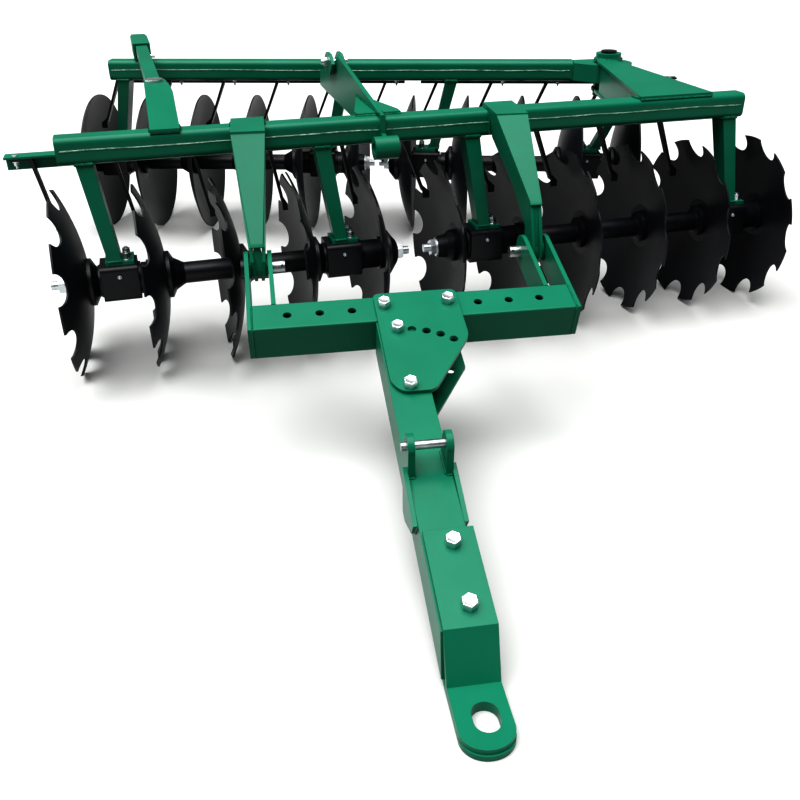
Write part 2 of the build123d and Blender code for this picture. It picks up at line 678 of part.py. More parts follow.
stop_z = LINK_LOW + LINK_H / 2
keep("link_stop_pin", link, rod(
    (STOP_AT, -half - STOP_OUT, stop_z), (STOP_AT, -half, stop_z), STOP_R))


def sleeve_plan(wide, over):
    """The sleeve's outline from above, drawn in at its rear end."""
    return [
        (-SLEEVE_FRONT - over, -wide), (SLEEVE_BACK - SLEEVE_TAPER, -wide),
        (SLEEVE_BACK + over, SLEEVE_IN - wide), (SLEEVE_BACK + over, wide - SLEEVE_IN),
        (SLEEVE_BACK - SLEEVE_TAPER, wide), (-SLEEVE_FRONT - over, wide),
    ]


inner, outer = half + SLEEVE_GAP, half + SLEEVE_GAP + SLEEVE_WALL + SLEEVE_IN / 2
low, high = LINK_LOW - SLEEVE_GAP, LINK_HIGH + SLEEVE_GAP
sleeve = prism_z(sleeve_plan(outer, 0), low - SLEEVE_WALL, high + SLEEVE_WALL)
sleeve = sleeve - block(-SLEEVE_FRONT - 1, SLEEVE_BACK + 1, -inner, inner, low, high)
sleeve = sleeve + post(0, 0, BEAM_TOP + 0.5, low - 1, SLEEVE_FOOT_R)
at_sleeve = Location((sleeve_x, sleeve_y, 0), (0, 0, link_turn))
keep("link_sleeve", at_sleeve, sleeve - post(0, 0, BEAM_TOP, low + 1, LINK_PIN_R + PIN_FIT))
keep("sleeve_stud", at_sleeve, post(0, 0, BEAM_TOP, low, LINK_PIN_R))

# Pivot bracket on the front beam, in the front row's coordinates
pivot = (front.inverse() * Location((*machine_point("rear", PIVOT_X, PIVOT_Y), 0))).position
px, py = pivot.X, pivot.Y


def pivot_plate(near_left, near_right, near_y, z):
    plate = prism_z([
        (near_left, near_y), (near_right, near_y), (px + 4, py), (px, py + 20),
        (px - PIVOT_PLATE_R + 6, py), (px - 79, py - 70),
    ], z, z + PIVOT_PLATE_T)
    return plate + post(px, py, z, z + PIVOT_PLATE_T, PIVOT_PLATE_R)


bracket = pivot_plate(UPPER_PLATE_X, px + 4, FRONT_FACE + 7, BEAM_TOP)
bracket = bracket + pivot_plate(LOWER_PLATE_X, px - 6, LOWER_PLATE_Y, PIVOT_LOW_Z)
bracket = bracket + post(px, py, PIVOT_LOW, PIVOT_HIGH, PIVOT_R)
for x_near, x_far in ((1884, px - 78), (px - 4, px - 4)):
    start, end = Vector(x_near, FRONT_BEAM_Y, 0), Vector(x_far, py - LUG_R - 12, 0)
    along = (end - start).normalized()
    side = Vector(-along.Y, along.X, 0) * (WEB_T / 2)
    run, low = (end - start).length, PIVOT_LOW_Z + PIVOT_PLATE_T / 2
    profile = (
        (0, WEB_LOW), (0, BEAM_TOP + 1), (run, BEAM_TOP + 1), (run, low),
        (WEB_DROP, low), (WEB_FLAT, WEB_LOW))
    points = [start + along * d - side + Vector(0, 0, z) for d, z in profile]
    web = prism([tuple(p) for p in points], tuple(side * 2))
    bracket = bracket + (web - block(
        x_near - BEAM, px + BEAM, FRONT_FACE, BACK_FACE + SEAT, PIVOT_LOW, PIVOT_HIGH))
keep("pivot_bracket", front, bracket)
keep("pivot_cap", front, post(px, py, PIVOT_HIGH, PIVOT_HIGH + PIVOT_CAP_T, PIVOT_CAP_R))

# Hitch frame: cross beam, clevis arms and pins
middle = CROSS_L / 2
cross = tube(ARM_T, CROSS_L - ARM_T, CROSS / 2, -CROSS, CROSS, CROSS_WALL, CROSS_ROUND)
for k in range(-HOLE_SIDE, HOLE_SIDE + 1):
    cross = cross - post(middle + HOLE_PITCH * k, CROSS / 2, -CROSS - 1, 1, HOLE_R)
keep("hitch_cross_beam", hitch, cross)
for centre, outer in ((CLEVIS_LEFT, -1), (CLEVIS_RIGHT, 1)):
    for s in (-1, 1):
        inner = centre + s * (CLEVIS_HALF - ARM_T)
        x0, x1 = sorted((inner, inner + s * ARM_T))
        near = 0 if s == outer else CROSS
        pin_line = (x0, PIN_BACK, -PIN_DEEP), (x1, PIN_BACK, -PIN_DEEP)
        plate = block(x0, x1, near, PIN_BACK, ARM_LESS - CROSS, 0) + rod(*pin_line, ARM_R)
        keep("hitch_arms", hitch, plate - rod(*pin_line, PIN_R + PIN_FIT))
    start = centre + outer * (CLEVIS_HALF + SEAT)
    end, head = centre - outer * (CLEVIS_HALF + PIN_OUT), start + outer * PIN_HEAD_T
    pin = rod((start, PIN_BACK, -PIN_DEEP), (end, PIN_BACK, -PIN_DEEP), PIN_R)
    keep("hitch_pins", hitch, pin + rod(
        (start, PIN_BACK, -PIN_DEEP), (head, PIN_BACK, -PIN_DEEP), PIN_HEAD_R))

# Clamp plates above and below the cross beam, the drawbar and their bolts
outline = [
    (DRAW_X - 44, CROSS), (DRAW_X - 44, -236), (DRAW_X - 20, -270), (DRAW_X + 58, -270),
    (DRAW_X + 175, -90), (DRAW_X + 175, CROSS),
]
clamp_bolts = [(middle - HOLE_PITCH, CROSS / 2), (middle + HOLE_PITCH, CROSS / 2)]
set_holes = []
for k in range(SET_HOLES):
    a = math.radians(SET_STEP * k)
    set_holes.append((DRAW_X + SET_R * math.sin(a), SET_R * math.cos(a) - SET_BOLT))
draw_bolts = [(DRAW_X, -SET_BOLT), set_holes[0]]
for name, z in (("clamp_plate_top", 0.0), ("clamp_plate_bottom", -CROSS - PLATE_T)):
    plate = prism_z(outline, z, z + PLATE_T)
    for x, y in clamp_bolts + set_holes + draw_bolts[:1]:
        plate = plate - post(x, y, z - 1, z + PLATE_T + 1, HOLE_R)
    keep(name, hitch, plate)
for x, y in clamp_bolts + draw_bolts:
    top, low = PLATE_T + SEAT, -CROSS - PLATE_T - SEAT
    bolt = post(x, y, low - BOLT_TAIL, top + 1, HOLE_R - SEAT)
    bolt = bolt + hexagon((x, y, top), (x, y, top + BOLT_HEAD), BOLT_AF)
    keep("clamp_bolts", hitch, bolt + hexagon((x, y, low), (x, y, low - BOLT_HEAD), BOLT_AF))


def drawbar_profile(inset):
    """The drawbar seen from its side, drawn in all round by the inset."""
    slope = (DRAW_LOW_END - DRAW_TOP_END) / CROSS
    top, low = -inset, inset - CROSS
    return [
        (-DRAW_TAIL - inset, top), (-DRAW_TAIL - inset, low),
        (slope * low - DRAW_TOP_END + inset, low), (slope * top - DRAW_TOP_END + inset, top),
    ]


x0, x1 = DRAW_X - DRAW_W / 2, DRAW_X + DRAW_W / 2
drawbar = prism_x(drawbar_profile(0), x0, x1)
drawbar = drawbar - prism_x(drawbar_profile(DRAW_WALL), x0 + DRAW_WALL, x1 - DRAW_WALL)
for x, y in draw_bolts:
    drawbar = drawbar - post(x, y, -CROSS - 1, 1, HOLE_R)
keep("drawbar_tube", hitch, drawbar)


# Straps that close on the floor as the hitch eye
def in_hitch(y, z):
    """A point of the machine's Y and Z in the hitch frame's own run and height."""
    dy, dz = y - HITCH_Y, z - HITCH_Z
    return dy * COS_H + dz * SIN_H, dz * COS_H - dy * SIN_H


floor_meet = (HITCH_Z - (CROSS + STRAP_T) * COS_H) / SIN_H
top_bend = DRAW_TOP_END + 4
top_strap = [
    (-STRAP_START, SEAT), (-STRAP_START, STRAP_T), (-top_bend, STRAP_T),
    in_hitch(STRAP_BEND_Y, 2 * STRAP_T), in_hitch(STRAP_TIP_Y, 2 * STRAP_T),
    in_hitch(STRAP_TIP_Y, STRAP_T + SEAT), in_hitch(STRAP_BEND_Y + 12, STRAP_T + SEAT),
    (3 - top_bend, SEAT),
]
low_strap = [
    (-STRAP_START, -CROSS - SEAT), (-STRAP_START, -CROSS - STRAP_T),
    (-floor_meet, -CROSS - STRAP_T), in_hitch(STRAP_TIP_Y - LOWER_TIP, 0),
    in_hitch(STRAP_TIP_Y - LOWER_TIP, STRAP_T), in_hitch(STRAP_BEND_Y + 26, STRAP_T),
    (-DRAW_LOW_END, -CROSS - SEAT),
]
deep = -HITCH_Z - 10
eye_x, eye_y = EYE_X, EYE_Y - HITCH_Y
for name, profile, longer in (
        ("hitch_strap_top", top_strap, 0.0), ("hitch_strap_bottom", low_strap, LOWER_TIP)):
    strap = prism_x(profile, STRAP_X - STRAP_HALF, STRAP_X + STRAP_HALF)
    # The rounded tip and the eye are cut square to the floor.
    strap = strap.moved(Location((0, 0, 0), (HITCH_SLOPE, 0, 0)))
    tip = STRAP_TIP_Y - HITCH_Y - longer
    strap = strap & prism_z([
        (STRAP_X - STRAP_HALF, 0), (STRAP_X - STRAP_HALF, tip + 34), (STRAP_X - 38, tip + 12),
        (STRAP_X - 14, tip), (STRAP_X + 14, tip), (STRAP_X + 38, tip + 12),
        (STRAP_X + STRAP_HALF, tip + 34), (STRAP_X + STRAP_HALF, 0),
    ], deep, STRAP_HALF)
    strap = strap - block(
        eye_x - EYE_R, eye_x + EYE_R, eye_y - EYE_SLOT, eye_y + EYE_SLOT, deep, STRAP_HALF)
    for y in (eye_y - EYE_SLOT, eye_y + EYE_SLOT):
        strap = strap - post(eye_x, y, deep, STRAP_HALF, EYE_R)
    keep(name, placed(HITCH_X, HITCH_Y, HITCH_Z), strap)

# Ears with their cross pin, each on a cheek plate on the drawbar's side
for s in (-1, 1):
    face = DRAW_X + s * DRAW_W / 2
    x0, x1 = sorted((face + s * SEAT, face + s * (SEAT + CHEEK_T)))
    u0, u1 = sorted((face + s * (SEAT + 1), face - s * EAR_T))
    ear = prism_x([
        (-500, 14), (-530, 1 - CROSS), (-560, 1 - CROSS), (-632, -44), (-645, -4), (-560, 8),
    ], x0, x1)
    ear = ear + prism_x([
        (-EAR_BASE_BACK, SEAT), (-EAR_BASE_FRONT, SEAT), (-EAR_AT - EAR_R, EAR_UP),
        (EAR_R - EAR_AT, EAR_UP),
    ], u0, u1)
    ear = ear + rod((u0, -EAR_AT, EAR_UP), (u1, -EAR_AT, EAR_UP), EAR_R)
    keep("ear_plates", hitch, ear - rod(
        (u0 - 1, -EAR_AT, EAR_UP), (u1 + 1, -EAR_AT, EAR_UP), EAR_PIN_R + PIN_FIT))
keep("ear_pin", hitch, rod(
    (EAR_PIN_LEFT, -EAR_AT, EAR_UP), (EAR_PIN_RIGHT, -EAR_AT, EAR_UP), EAR_PIN_R))

os.makedirs("parts", exist_ok=True)
low_point, high_point = [math.inf] * 3, [-math.inf] * 3
for name, solids in nodes.items():
    shape = Compound(children=solids) if len(solids) > 1 else solids[0]
    shape.label = name
    box = shape.bounding_box()
    low_point = [min(a, b) for a, b in zip(low_point, tuple(box.min))]
    high_point = [max(a, b) for a, b in zip(high_point, tuple(box.max))]
    export_step(shape, "parts/" + name + ".step")
print("low", low_point, "high", high_point)
print("pivot", machine_point("rear", PIVOT_X, PIVOT_Y), "pins", PIN_Y - CENTRE_Y, PIN_Z)
print("link pin", link_x, link_y, "sleeve", sleeve_x, sleeve_y)
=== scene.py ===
"""Finishes, fixings, welds and a plain studio round a trailed offset disc harrow."""

import json
import math
import random
from collections import namedtuple

import bmesh
import bpy
from bpy.props import FloatProperty, FloatVectorProperty, PointerProperty, StringProperty
from mathutils import Matrix, Vector


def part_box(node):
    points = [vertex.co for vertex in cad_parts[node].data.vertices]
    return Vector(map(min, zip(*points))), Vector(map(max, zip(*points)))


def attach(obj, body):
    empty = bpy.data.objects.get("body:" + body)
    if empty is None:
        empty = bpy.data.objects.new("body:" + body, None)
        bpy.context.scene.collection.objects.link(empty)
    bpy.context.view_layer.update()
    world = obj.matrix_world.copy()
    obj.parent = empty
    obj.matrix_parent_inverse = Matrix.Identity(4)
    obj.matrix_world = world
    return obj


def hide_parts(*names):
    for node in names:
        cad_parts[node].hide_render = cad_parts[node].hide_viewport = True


bl_info = {
    "name": "Disc harrow dressing",
    "version": (1, 1, 0),
    "blender": (4, 5, 0),
    "location": "View3D > Sidebar > Harrow",
    "description": "Enamel, fixings, weld beads and a studio for a trailed disc harrow",
    "category": "Object",
}

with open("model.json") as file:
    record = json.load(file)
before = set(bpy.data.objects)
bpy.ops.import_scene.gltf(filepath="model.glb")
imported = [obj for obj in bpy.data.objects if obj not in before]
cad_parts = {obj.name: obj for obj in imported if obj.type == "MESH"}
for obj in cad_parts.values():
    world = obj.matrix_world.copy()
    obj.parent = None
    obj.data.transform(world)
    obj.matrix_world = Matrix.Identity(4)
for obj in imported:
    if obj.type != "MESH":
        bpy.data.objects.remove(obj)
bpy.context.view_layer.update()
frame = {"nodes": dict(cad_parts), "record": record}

# Where the machine's own lines lie, in millimetres: the two rows and the hitch frame
MILLIMETRE = Matrix.Scale(0.001, 4)
MACHINE = MILLIMETRE @ Matrix.Translation((-1121.05, -51.07, 0))
FRONT_TURN, REAR_TURN = math.radians(6.3), math.radians(-11.9)
FRONT_ROW = MACHINE @ Matrix.Rotation(FRONT_TURN, 4, "Z")
REAR_ROW = MACHINE @ Matrix.Translation((-65, 1465, 0)) @ Matrix.Rotation(REAR_TURN, 4, "Z")
HITCH = (MACHINE @ Matrix.Translation((544.1, -585.8, 356.5))
         @ Matrix.Rotation(math.radians(15.41), 4, "X"))
LINES = {"machine": MACHINE, "front": FRONT_ROW, "rear": REAR_ROW, "hitch": HITCH}

PITCH = 230.0
AXLE_Z = 280.0
BEAM_LOW, BEAM_TOP, BEAM_MIDDLE = 634.0, 712.0, 673.0
FOOT_TOP = 350.0
# Hitch brackets: their middles, half their width at the beam and at the face plate's end,
# their side plates' thickness, and the heights of the right face plate's end and of the pins
BRACKETS = (582.1, 1374.1)
SADDLE_HALF, FACE_HALF, SIDE_THICK = 49.0, 17.0, 9.0
FACE_END, HITCH_PIN_Z = 530.0, 395.5
CROSS_LENGTH = 868.0
# Rows: the beam's middle and ends; how far the legs lean off their bearings at the foot and at
# the beam, and their place across at the foot; the foot bolts' place from the bearing; the
# bearings; the scraper bolts' place across, the scraper bar's top and the scrapers' underside
Row = namedtuple("Row", "beam_y first last foot_lean beam_lean foot_y bolt_lean bearings "
                        "scraper_y bar_top scraper_under")
ROWS = {
    "front": Row(27.0, 43.0, 2248.0, -7.0, -46.0, -10.0, 27.0, (159.8, 849.8, 1329.8, 2249.8),
                 107.0, 646.0, 632.0),
    "rear": Row(-39.0, 102.0, 2008.0, 35.0, 105.0, 10.0, -17.0, (50.2, 970.2, 1416.2, 2106.2),
                29.0, 634.0, 620.0),
}
# Gangs: the row, first rim, discs, the scrapers' bends and feet from the rim, way that they face
Gang = namedtuple("Gang", "row first discs bend foot way")
GANGS = {
    "front_left": Gang("front", 0.0, 5, -43.0, -8.0, 1),
    "front_right": Gang("front", 1170.0, 6, -95.0, -20.0, 1),
    "rear_left": Gang("rear", 0.0, 6, 103.0, 24.0, -1),
    "rear_right": Gang("rear", 1366.0, 5, 103.0, 24.0, -1),
}
# Gangs: where the bell on the hollow side ends from the first rim, how far the middle of a
# disc's round side lies behind its rim, and the length of the bell there
HOLLOW_END, DISC_DEPTH, ROUND_BELL = 0.27, 67.31, 42.0
# Scrapers: the bolt from the bend; the blade's reach past the rim, the heights between which
# it lies, and the share of its width that is kept
SCRAPER_BOLT = 37.0
BLADE_REACH, BLADE_LOW, BLADE_TOP, BLADE_KEPT = 26.0, 421.0, 463.0, 0.5
# Beam seams: their distance from the beam's middle, their height and their gap at its ends
SEAM_OUT, SEAM_Z, SEAM_INSET = 38.6, BEAM_MIDDLE + 4, 12.0
# Scraper tabs along each row
FRONT_TABS, REAR_TABS = (250, 700, 1180, 1640), (390, 860, 1620, 1940)


def rims(row):
    """Each disc of a row: its gang and where its rim lies along the row."""
    return [(gang, gang.first + PITCH * i) for gang in GANGS.values() if gang.row == row
            for i in range(gang.discs)]


class HarrowSizes(bpy.types.PropertyGroup):
    """Sizes of the fixings and welds, in millimetres"""

    foot_bolt: FloatProperty(
        name="Foot bolt", description="Across the flats of the bearing bolts", default=22.0)
    scraper_bolt: FloatProperty(
        name="Scraper nut", description="Across the flats of the scraper nuts", default=13.0)
    hitch_bolt: FloatProperty(
        name="Hitch bolt", description="Across the flats of the drawbar's bolts", default=30.0)
    seam_width: FloatProperty(
        name="Seam width", description="Width of the seams along the beams", default=4.5)
    weld_width: FloatProperty(
        name="Weld width", description="Width of the weld beads at the joints", default=9.0)
    ripple: FloatProperty(
        name="Weld ripple", description="From one ripple of a weld to the next", default=5.5)
    thread_pitch: FloatProperty(
        name="Thread pitch", description="From one thread to the next", default=3.0)


class HarrowFinishes(bpy.types.PropertyGroup):
    """Colours of the finishes, as sRGB hex"""

    green: StringProperty(
        name="Green enamel", description="Colour of the sprayed frame enamel", default="#12745a")
    green_deep: StringProperty(
        name="Green shade", description="Colour of the enamel's darker clouds",
        default="#0e6b52")
    black: StringProperty(
        name="Black paint", description="Colour of the castings and scrapers", default="#181a20")
    disc: StringProperty(
        name="Disc steel", description="Colour of the dipped disc blades", default="#1f2025")
    zinc: StringProperty(
        name="Zinc", description="Colour of the plated bolts and nuts", default="#d6dadd")
    steel: StringProperty(
        name="Bare steel", description="Colour of the turned pins", default="#b9bcbe")


class HarrowStudio(bpy.types.PropertyGroup):
    """The studio and the camera"""

    eye: FloatVectorProperty(
        name="Camera place", description="Where the camera stands",
        default=(-0.50345, -2.64587, 1.2911), subtype="XYZ", unit="LENGTH")
    yaw: FloatProperty(
        name="Yaw", description="Turn of the view from straight ahead to the left",
        default=math.radians(-8.777), unit="ROTATION")
    pitch: FloatProperty(
        name="Pitch", description="How far the view looks down",
        default=math.radians(29.95), unit="ROTATION")
    roll: FloatProperty(
        name="Roll", description="Turn of the picture round its middle",
        default=math.radians(0.449), unit="ROTATION")
    lens: FloatProperty(
        name="Lens", description="Focal length on a 36 mm wide sensor", default=39.32)
    floor_side: FloatProperty(
        name="Floor side", description="Side of the floor square", default=70.0, unit="LENGTH")
    floor_colour: StringProperty(
        name="Floor", description="Colour of the floor", default="#c9c9c8")
    key_power: FloatProperty(
        name="Key light", description="Strength of the broad light from above",
        default=4.6)
    key_spread: FloatProperty(
        name="Key spread", description="How wide the key light is", default=math.radians(70),
        unit="ROTATION")
    key_from: FloatVectorProperty(
        name="Key from", description="Where the key light comes from",
        default=(-0.3, -0.1, 1.5), subtype="XYZ")
    sky: FloatProperty(
        name="Surround", description="Strength of the light from all round", default=0.14)


# Finishes
def linear(hex_colour):
    """A linear colour with alpha from an sRGB hex value."""
    parts = [int(hex_colour[i:i + 2], 16) / 255 for i in (1, 3, 5)]
    return [p / 12.92 if p <= 0.04045 else ((p + 0.055) / 1.055) ** 2.4 for p in parts] + [1.0]


def add_node(tree, kind, links=None, **settings):
    """Adds a node; links maps its inputs to sockets, values of inputs start with an underscore."""
    node = tree.nodes.new(kind)
    for key, value in settings.items():
        if key.startswith("_"):
            node.inputs[key[1:].replace("_", " ")].default_value = value
        else:
            setattr(node, key, value)
    for key, socket in (links or {}).items():
        tree.links.new(socket, node.inputs[key])
    return node


def painted(name, colour, deep, roughness, spread, peel_mm, peel_depth, round_mm, coat=0.0,
            metallic=0.0, blotch_mm=60.0, specular=0.5):
    """A coating: two tones in soft blotches, orange peel in the surface and rounded edges."""
    material = bpy.data.materials.new(name)
    material.use_nodes = True
    tree = material.node_tree
    shader = tree.nodes["Principled BSDF"]
    place = add_node(tree, "ShaderNodeTexCoord").outputs["Object"]
    blotch = add_node(tree, "ShaderNodeTexNoise", {"Vector": place}, _Scale=1000 / blotch_mm,
                      _Detail=6.0, _Roughness=0.6).outputs["Fac"]
    tone = add_node(tree, "ShaderNodeMapRange", {"Value": blotch}, _From_Min=0.3, _From_Max=0.7)
    mix = add_node(tree, "ShaderNodeMix", {"Factor": tone.outputs["Result"]}, data_type="RGBA")
    mix.inputs[6].default_value = linear(deep)
    mix.inputs[7].default_value = linear(colour)
    tree.links.new(mix.outputs[2], shader.inputs["Base Color"])
    rub = add_node(tree, "ShaderNodeMapRange", {"Value": blotch}, _To_Min=roughness - spread,
                   _To_Max=roughness + spread)
    tree.links.new(rub.outputs["Result"], shader.inputs["Roughness"])
    peel = add_node(tree, "ShaderNodeTexNoise", {"Vector": place}, _Scale=1000 / peel_mm,
                    _Detail=3.0)
    edge = add_node(tree, "ShaderNodeBevel", samples=4, _Radius=round_mm / 1000)
    bump = add_node(tree, "ShaderNodeBump",
                    {"Height": peel.outputs["Fac"], "Normal": edge.outputs["Normal"]},
                    _Strength=1.0, _Distance=peel_depth / 1000)
    tree.links.new(bump.outputs["Normal"], shader.inputs["Normal"])
    shader.inputs["Metallic"].default_value = metallic
    shader.inputs["Specular IOR Level"].default_value = specular
    if coat:
        shader.inputs["Coat Weight"].default_value = coat
        shader.inputs["Coat Roughness"].default_value = 0.12
    return material


FINISHES = {}


def make_finishes(p):
    # Machine enamel on rolled steel: a soft gloss with orange peel about 5 mm across, and two
    # tones in broad clouds.
    FINISHES["green_paint"] = painted(
        "Green_machine_enamel", p.green, p.green_deep, 0.36, 0.05, 5.0, 0.05, 1.8, coat=0.04,
        blotch_mm=240.0, specular=0.18)
    # The beam seams: the same green with pale streaks about 30 mm long, a painted highlight along
    # the top of each bead.
    FINISHES["seam_highlight_enamel"] = painted(
        "Enamel_with_painted_seam_highlight", "#c4dccb", p.green, 0.5, 0.08, 3.0, 0.05, 0.5, blotch_mm=30.0)
    # Black paint on castings: satin over a sand-cast skin with 3 mm grain.
    FINISHES["black_castings"] = painted(
        "Black_paint_on_cast_iron", p.black, "#0b0c10", 0.42, 0.06, 3.0, 0.25, 2.5, coat=0.05,
        specular=0.3)
    # The same paint on flat bar: smoother, and a little duller.
    FINISHES["black_paint"] = painted(
        "Black_paint_on_flat_bar", p.black, "#0e1014", 0.46, 0.07, 5.0, 0.10, 1.0,
        specular=0.3)
    # Discs dipped in thin black: satin, with slightly darker clouds.
    FINISHES["disc_steel"] = painted(
        "Dipped_boron_steel", p.disc, "#16171b", 0.44, 0.09, 6.0, 0.06, 0.8, blotch_mm=110.0,
        specular=0.25)
    # Bright zinc plate on bolts: pale and slightly cloudy metal.
    FINISHES["bright_zinc"] = painted(
        "Bright_zinc_plate", p.zinc, "#bcc2c6", 0.34, 0.08, 2.0, 0.02, 0.8, metallic=1.0,
        blotch_mm=12.0)
    # Bare steel pins: grey metal with fine dull patches.
    FINISHES["pin_steel"] = painted(
        "Turned_bare_steel", p.steel, "#8b8e90", 0.36, 0.10, 1.5, 0.03, 0.8, metallic=1.0,
        blotch_mm=15.0)


def finish(piece, slot):
    piece.data.materials.clear()
    piece.data.materials.append(FINISHES[slot])


# Modelling by hand: each master stands on the origin along +Z, in millimetres
def alone(piece):
    bpy.ops.object.select_all(action="DESELECT")
    piece.select_set(True)
    bpy.context.view_layer.objects.active = piece


def joined(parts):
    """Joins parts into one piece and lays its place and turn into its points."""
    alone(parts[0])
    for part in parts:
        part.select_set(True)
    if len(parts) > 1:
        bpy.ops.object.join()
    bpy.ops.object.transform_apply(location=True, rotation=True, scale=True)
    return bpy.context.object


def pick(test, edges=False):
    """Selects, in edit mode, the faces or edges of the active piece that pass the test."""
    bpy.ops.mesh.select_mode(type="EDGE" if edges else "FACE")
    bpy.ops.mesh.select_all(action="DESELECT")
    mesh = bmesh.from_edit_mesh(bpy.context.object.data)
    for part in (mesh.edges if edges else mesh.faces):
        if test(part):
            part.select_set(True)
    bmesh.update_edit_mesh(bpy.context.object.data)


def facing_up(face):
    return face.normal.z > 0.9


def drum(sides, radius, low, high, chamfer=0.0):
    """A prism or cylinder along Z, its upper rim bevelled in edit mode."""
    bpy.ops.object.select_all(action="DESELECT")
    bpy.ops.mesh.primitive_cylinder_add(
        vertices=sides, radius=radius, depth=high - low, location=(0, 0, (low + high) / 2))
    if chamfer:
        bpy.ops.object.mode_set(mode="EDIT")
        pick(facing_up)
        bpy.ops.mesh.bevel(offset=chamfer, segments=2, affect="EDGES")
        bpy.ops.object.mode_set(mode="OBJECT")
    return bpy.context.object


def ripples(radius, taper, step, count, sides, start=0.0):
    """Overlapping rings along +Z: the ripples of a weld, or the turns of a thread."""
    bpy.ops.object.select_all(action="DESELECT")
    bpy.ops.mesh.primitive_cone_add(
        vertices=sides, radius1=radius, radius2=radius * taper, depth=step,
        location=(0, 0, start + step / 2))
    row = bpy.context.object
    bpy.ops.object.transform_apply(location=True)
    if count > 1:
        array = row.modifiers.new("Ripples", "ARRAY")
        array.count = count
        array.use_relative_offset = False
        array.use_constant_offset = True
        array.constant_offset_displace = (0, 0, step)
        bpy.ops.object.modifier_apply(modifier=array.name)
    return row


def bolt_head(flats, rim=0.8, thick=3.0, height=0.62):
    """A hexagon head with a dished top on its washer, which is rim of the flats in radius."""
    head = drum(6, flats / 1.732, thick, thick + flats * height, flats * 0.07)
    bpy.ops.object.mode_set(mode="EDIT")
    pick(lambda face: facing_up(face) and face.calc_area() > flats)
    bpy.ops.mesh.inset(thickness=flats * 0.12, depth=-flats * 0.03)
    bpy.ops.object.mode_set(mode="OBJECT")
    return joined([head, drum(24, flats * rim, 0, thick, thick * 0.25)])


def nut(flats, pitch, threads, rim=0.8, thick=3.0):
    """A nut on its washer with the end of its bolt standing out."""
    shank = flats * 0.31
    body = drum(6, flats / 1.732, thick, thick + flats * 0.8, flats * 0.08)
    thread = ripples(shank, 0.86, pitch, threads, 16, thick + flats * 0.7)
    return joined([body, thread, drum(24, flats * rim, 0, thick, thick * 0.25)])


def spread(master, name, body, slot, places, replaces=()):
    """Copies a master to each (lines, at, along) place and joins the copies into one piece."""
    copies = []
    for lines, at, along in places:
        alone(master)
        bpy.ops.object.duplicate()
        copy = bpy.context.object
        turn = Vector(along).to_track_quat("Z", "Y").to_matrix().to_4x4()
        copy.matrix_world = LINES[lines] @ Matrix.Translation(at) @ turn
        copies.append(copy)
    seat(joined(copies), name, body, slot, replaces)


def seat(piece, name, body, slot, replaces=(), smooth=35):
    """Names a piece, smooths it, and lets it ride on its body in its finish."""
    piece.name = piece.data.name = name
    alone(piece)
    bpy.ops.object.shade_smooth_by_angle(angle=math.radians(smooth))
    finish(piece, slot)
    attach(piece, body)
    if replaces:
        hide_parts(*replaces)


def merged_copy(node):
    """A copy of a node of the frame model, its loose triangles merged into plain faces."""
    alone(frame["nodes"][node])
    bpy.ops.object.duplicate()
    bpy.ops.mesh.customdata_custom_splitnormals_clear()
    bpy.ops.object.mode_set(mode="EDIT")
    bpy.ops.mesh.select_all(action="SELECT")
    bpy.ops.mesh.mark_sharp(clear=True)
    bpy.ops.mesh.remove_doubles(threshold=0.00001)
    bpy.ops.mesh.dissolve_limited(angle_limit=math.radians(0.5))
    bpy.ops.object.mode_set(mode="OBJECT")
    return bpy.context.object


def clear(*masters):
    for master in masters:
        bpy.data.objects.remove(master, do_unlink=True)


# Welds
def bead(lines, start, end, width, step):
    """One rippled bead, half sunk, from one point of the given lines to another."""
    a, b = Vector(start), Vector(end)
    count = max(1, round((b - a).length / step))
    row = ripples(width / 2, 0.8, (b - a).length / count, count, 8)
    turn = (b - a).to_track_quat("Z", "Y").to_matrix().to_4x4()
    row.matrix_world = LINES[lines] @ Matrix.Translation(a) @ turn
    return row


def path(points):
    """The stretches from each point to the next."""
    return list(zip(points, points[1:]))


def frame_round(x, y, z, half_x, half_y):
    """The four sides of a rectangle round a leg."""
    corners = [(x - half_x, y - half_y, z), (x + half_x, y - half_y, z),
               (x + half_x, y + half_y, z), (x - half_x, y + half_y, z)]
    return path(corners + corners[:1])


def ring_round(x, y, z, radius):
    """Twenty stretches round an upright tube."""
    turn = 2 * math.pi / 20
    return path([(x + radius * math.cos(turn * k), y + radius * math.sin(turn * k), z)
                 for k in range(21)])


def lay_beads(name, body, runs, step):
    """Lays the beads of (lines, width, paths) runs and joins them into one uneven piece."""
    rows = [bead(lines, start, end, width, step)
            for lines, width, paths in runs for start, end in paths]
    piece = joined(rows)
    bpy.ops.object.mode_set(mode="EDIT")
    bpy.ops.mesh.select_all(action="SELECT")
    bpy.ops.transform.vertex_random(offset=0.0005, uniform=0.6, normal=0.4, seed=len(rows))
    bpy.ops.object.mode_set(mode="OBJECT")
    seat(piece, name, body, "green_paint", smooth=50)
    return piece


class HARROW_OT_finish_frame(bpy.types.Operator):
    """Gives every part of the frame model the finish that the real one has"""

    bl_idname = "harrow.finish_frame"
    bl_label = "Finish the steelwork"

    def execute(self, context):
        make_finishes(context.scene.harrow_finishes)
        for part in frame["record"]["subparts"]:
            finish(frame["nodes"][part["node"]], part["material_slot"])
        return {"FINISHED"}


